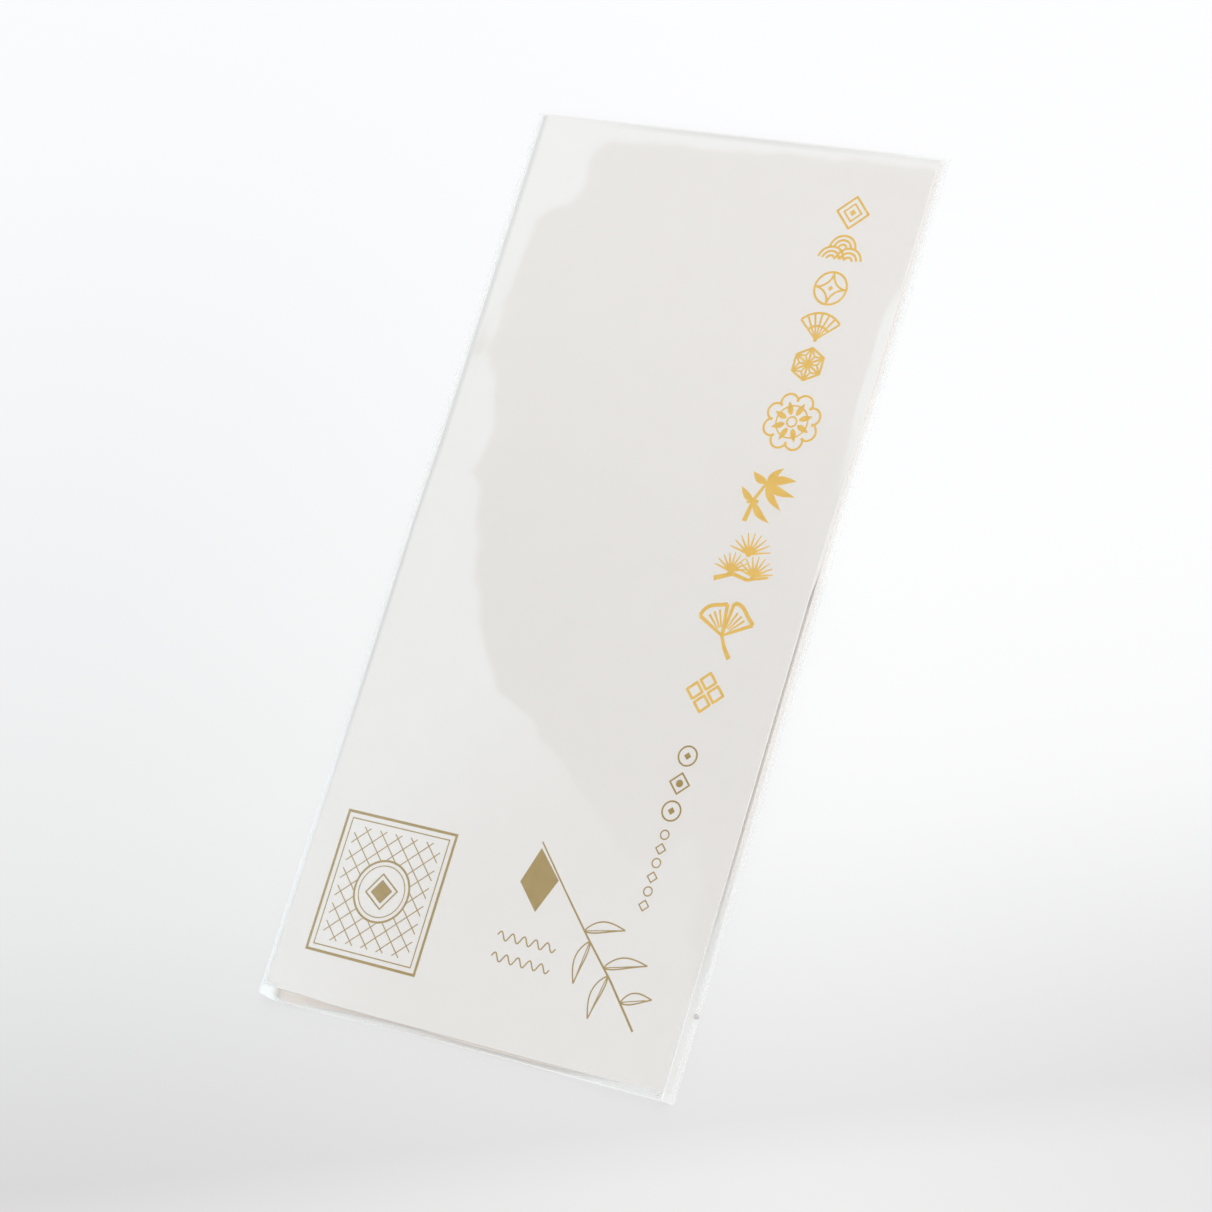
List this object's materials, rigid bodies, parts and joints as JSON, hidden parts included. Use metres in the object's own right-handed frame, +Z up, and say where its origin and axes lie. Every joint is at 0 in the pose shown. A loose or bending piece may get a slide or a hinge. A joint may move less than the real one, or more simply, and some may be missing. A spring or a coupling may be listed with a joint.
{
  "type": "gold leaf booklet",
  "caption": "Folded paper folder with square gold leaves between interleaf papers on a backing board, in a clear film sleeve open at the bottom.",
  "frame": {"origin": "under the middle of the sleeve, on the surface that it rests on", "axes": "+X to the right across the folder, away from its fold; +Y along the folder, towards the sleeve's folded top and away from its open mouth; +Z up out of the front cover"},
  "size_m": [0.086, 0.174, 0.0019],
  "materials": {
    "clear_film": "clear, glossy, slightly wavy film",
    "cover_paper": "warm white, uncoated, fine felt texture",
    "backing_card": "smooth uncoated card",
    "interleaf_paper": "thin brownish tissue with fine fibres",
    "gold": "bright gold leaf and foil"
  },
  "bodies": {
    "sleeve": {"sleeve_back_film": "clear_film", "sleeve_front_film": "clear_film", "sleeve_left_side": "clear_film", "sleeve_right_side": "clear_film", "sleeve_left_weld": "clear_film", "sleeve_right_weld": "clear_film", "sleeve_top_fold": "clear_film"},
    "folder": {"back_cover": "cover_paper", "spine_fold": "cover_paper", "front_cover": "cover_paper"},
    "leaf_pack": {"backing_board": "backing_card"},
    "leaf_sheet_1": {"interleaf_1": "interleaf_paper", "gold_leaf_1": "gold"},
    "leaf_sheet_2": {"interleaf_2": "interleaf_paper", "gold_leaf_2": "gold"},
    "leaf_sheet_3": {"interleaf_3": "interleaf_paper", "gold_leaf_3": "gold"},
    "leaf_sheet_4": {"interleaf_4": "interleaf_paper", "gold_leaf_4": "gold"},
    "leaf_sheet_5": {"interleaf_5": "interleaf_paper", "gold_leaf_5": "gold"},
    "top_sheet": {"interleaf_6": "interleaf_paper"}
  },
  "joints": [
    {"name": "folder_slide", "type": "slide", "parent": "sleeve", "child": "folder", "axis": [0, -1, 0], "range_m": [0, 0.176]},
    {"name": "pack_slide", "type": "slide", "parent": "folder", "child": "leaf_pack", "axis": [0, -1, 0], "range_m": [0, 0.09]},
    {"name": "leaf_sheet_1_slide", "type": "slide", "parent": "leaf_pack", "child": "leaf_sheet_1", "axis": [0, -1, 0], "range_m": [0, 0.088]},
    {"name": "leaf_sheet_2_slide", "type": "slide", "parent": "leaf_pack", "child": "leaf_sheet_2", "axis": [0, -1, 0], "range_m": [0, 0.088]},
    {"name": "leaf_sheet_3_slide", "type": "slide", "parent": "leaf_pack", "child": "leaf_sheet_3", "axis": [0, -1, 0], "range_m": [0, 0.088]},
    {"name": "leaf_sheet_4_slide", "type": "slide", "parent": "leaf_pack", "child": "leaf_sheet_4", "axis": [0, -1, 0], "range_m": [0, 0.088]},
    {"name": "leaf_sheet_5_slide", "type": "slide", "parent": "leaf_pack", "child": "leaf_sheet_5", "axis": [0, -1, 0], "range_m": [0, 0.088]},
    {"name": "top_sheet_slide", "type": "slide", "parent": "leaf_pack", "child": "top_sheet", "axis": [0, -1, 0], "range_m": [0, 0.088]}
  ]
}
